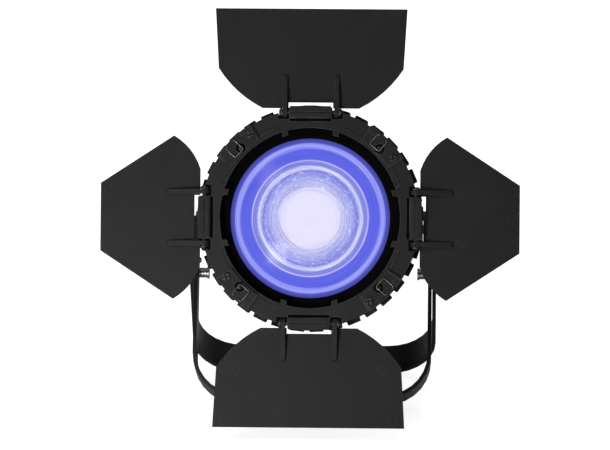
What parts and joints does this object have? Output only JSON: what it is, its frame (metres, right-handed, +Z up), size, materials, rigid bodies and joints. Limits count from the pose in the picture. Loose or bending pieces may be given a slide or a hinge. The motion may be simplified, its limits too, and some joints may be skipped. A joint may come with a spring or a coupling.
{
  "type": "fresnel spotlight",
  "caption": "Compact black fresnel spotlight with rotating barn doors, a zoom ring and a folding yoke that also stands on the floor.",
  "frame": {"origin": "on the floor, under the middle of the bounding box", "axes": "+Z up, the light leaves towards -Y and slightly up, +X to the right of someone who faces the lens"},
  "size_m": [0.269, 0.2202, 0.2682],
  "materials": {
    "black_paint": "satin black powder coat",
    "black_moulding": "fine-textured black moulding",
    "matte_black": "light-absorbing matte black",
    "steel": "bright zinc plate",
    "black_screw": "black oxide",
    "aluminium": "bare, lightly brushed",
    "lens": "clear stepped lens lit blue-violet",
    "board": "green circuit board",
    "rubber": "matte black",
    "display": "smoked window"
  },
  "bodies": {
    "stand": {"front_yoke": "black_paint", "leg_bolt_left": "black_screw", "leg_bolt_right": "black_screw", "leg_nut_left": "steel", "leg_nut_right": "steel"},
    "rear_leg": {"rear_yoke": "black_paint"},
    "head": {"housing": "black_paint", "front_tube": "matte_black", "friction_washer_left": "rubber", "friction_washer_right": "rubber", "tilt_bolt_left": "steel", "tilt_bolt_right": "steel", "bearing_ring": "black_paint", "reflector": "aluminium", "led_board": "board", "heat_sink": "aluminium", "led_driver": "aluminium", "fan_frame": "black_moulding", "rear_cover": "black_paint", "display_window": "display", "control_board": "board", "power_inlet": "black_moulding", "power_outlet": "black_moulding", "data_input": "black_moulding", "data_output": "black_moulding", "safety_eye": "steel"},
    "knob_left": {"tilt_knob_left": "black_moulding"},
    "knob_right": {"tilt_knob_right": "black_moulding"},
    "fan": {"fan_rotor": "matte_black"},
    "zoom": {"zoom_ring": "black_moulding", "cam_sleeve": "aluminium"},
    "lens": {"lens_carrier": "matte_black", "fresnel_lens": "lens", "lens_clamp_ring": "matte_black"},
    "barn_door": {"turning_ring": "black_paint", "barn_door_ring": "black_moulding", "clip_screw_upper_right": "black_screw", "clip_screw_upper_left": "black_screw", "clip_screw_lower_left": "black_screw", "clip_screw_lower_right": "black_screw"},
    "door_top": {"leaf_top": "black_moulding", "hinge_pin_top": "black_screw", "hinge_nut_top": "black_screw"},
    "door_right": {"leaf_right": "black_moulding", "hinge_pin_right": "black_screw", "hinge_nut_right": "black_screw"},
    "door_bottom": {"leaf_bottom": "black_moulding", "hinge_pin_bottom": "black_screw", "hinge_nut_bottom": "black_screw"},
    "door_left": {"leaf_left": "black_moulding", "hinge_pin_left": "black_screw", "hinge_nut_left": "black_screw"},
    "latch_upper_right": {"clip_wire_upper_right": "steel"},
    "latch_upper_left": {"clip_wire_upper_left": "steel"},
    "latch_lower_left": {"clip_wire_lower_left": "steel"},
    "latch_lower_right": {"clip_wire_lower_right": "steel"},
    "button_1": {"menu_button_1": "rubber"},
    "button_2": {"menu_button_2": "rubber"},
    "button_3": {"menu_button_3": "rubber"},
    "button_4": {"menu_button_4": "rubber"}
  },
  "joints": [
    {"name": "head_tilt", "type": "hinge", "parent": "stand", "child": "head", "pos_m": [0, 0.0211, 0.1075], "axis": [-1, 0, 0], "range_deg": [-25, 73]},
    {"name": "rear_leg_fold", "type": "hinge", "parent": "stand", "child": "rear_leg", "pos_m": [0, 0.00622, 0.08065], "axis": [1, 0, 0], "range_deg": [-62.5, 12]},
    {"name": "knob_left_turn", "type": "hinge", "parent": "head", "child": "knob_left", "pos_m": [-0.087, 0.0211, 0.1075], "axis": [1, 0, 0], "continuous": true},
    {"name": "knob_right_turn", "type": "hinge", "parent": "head", "child": "knob_right", "pos_m": [0.087, 0.0211, 0.1075], "axis": [1, 0, 0], "continuous": true},
    {"name": "fan_spin", "type": "hinge", "parent": "head", "child": "fan", "pos_m": [0, 0.06826, 0.0977], "axis": [0, 0.9588, -0.284], "continuous": true},
    {"name": "zoom_turn", "type": "hinge", "parent": "head", "child": "zoom", "pos_m": [0, -0.0468, 0.13178], "axis": [0, 0.9588, -0.284], "range_deg": [0, 110]},
    {"name": "lens_slide", "type": "slide", "parent": "head", "child": "lens", "axis": [0, 0.9588, -0.284], "range_m": [0, 0.024]},
    {"name": "barn_door_turn", "type": "hinge", "parent": "head", "child": "barn_door", "pos_m": [0, -0.07173, 0.13917], "axis": [0, 0.9588, -0.284], "continuous": true},
    {"name": "door_top_swing", "type": "hinge", "parent": "barn_door", "child": "door_top", "pos_m": [0, -0.05439, 0.20474], "axis": [1, 0, 0], "range_deg": [0, 112]},
    {"name": "door_right_swing", "type": "hinge", "parent": "barn_door", "child": "door_right", "pos_m": [0.0678, -0.07365, 0.13973], "axis": [0, -0.284, -0.9588], "range_deg": [0, 112]},
    {"name": "door_bottom_swing", "type": "hinge", "parent": "barn_door", "child": "door_bottom", "pos_m": [0, -0.0929, 0.07473], "axis": [-1, 0, 0], "range_deg": [0, 112]},
    {"name": "door_left_swing", "type": "hinge", "parent": "barn_door", "child": "door_left", "pos_m": [-0.0678, -0.07365, 0.13973], "axis": [0, 0.284, 0.9588], "range_deg": [0, 112]},
    {"name": "latch_upper_right_swing", "type": "hinge", "parent": "barn_door", "child": "latch_upper_right", "pos_m": [0.04653, -0.06353, 0.19044], "axis": [-0.742, 0.1904, 0.6428], "range_deg": [0, 100]},
    {"name": "latch_upper_left_swing", "type": "hinge", "parent": "barn_door", "child": "latch_upper_left", "pos_m": [-0.05149, -0.06494, 0.18568], "axis": [-0.6704, -0.2107, -0.7114], "range_deg": [0, 100]},
    {"name": "latch_lower_left_swing", "type": "hinge", "parent": "barn_door", "child": "latch_lower_left", "pos_m": [-0.04653, -0.09278, 0.0917], "axis": [0.742, -0.1904, -0.6428], "range_deg": [0, 100]},
    {"name": "latch_lower_right_swing", "type": "hinge", "parent": "barn_door", "child": "latch_lower_right", "pos_m": [0.05149, -0.09137, 0.09646], "axis": [0.6704, 0.2107, 0.7114], "range_deg": [0, 100]},
    {"name": "button_1_press", "type": "slide", "parent": "head", "child": "button_1", "axis": [0, -0.9588, 0.284], "range_m": [0, 0.001], "stiffness_N_per_m": 300},
    {"name": "button_2_press", "type": "slide", "parent": "head", "child": "button_2", "axis": [0, -0.9588, 0.284], "range_m": [0, 0.001], "stiffness_N_per_m": 300},
    {"name": "button_3_press", "type": "slide", "parent": "head", "child": "button_3", "axis": [0, -0.9588, 0.284], "range_m": [0, 0.001], "stiffness_N_per_m": 300},
    {"name": "button_4_press", "type": "slide", "parent": "head", "child": "button_4", "axis": [0, -0.9588, 0.284], "range_m": [0, 0.001], "stiffness_N_per_m": 300}
  ],
  "couplings": [
    {"joint": "lens_slide", "follows": "zoom_turn", "m_per_rad": 0.012501}
  ]
}
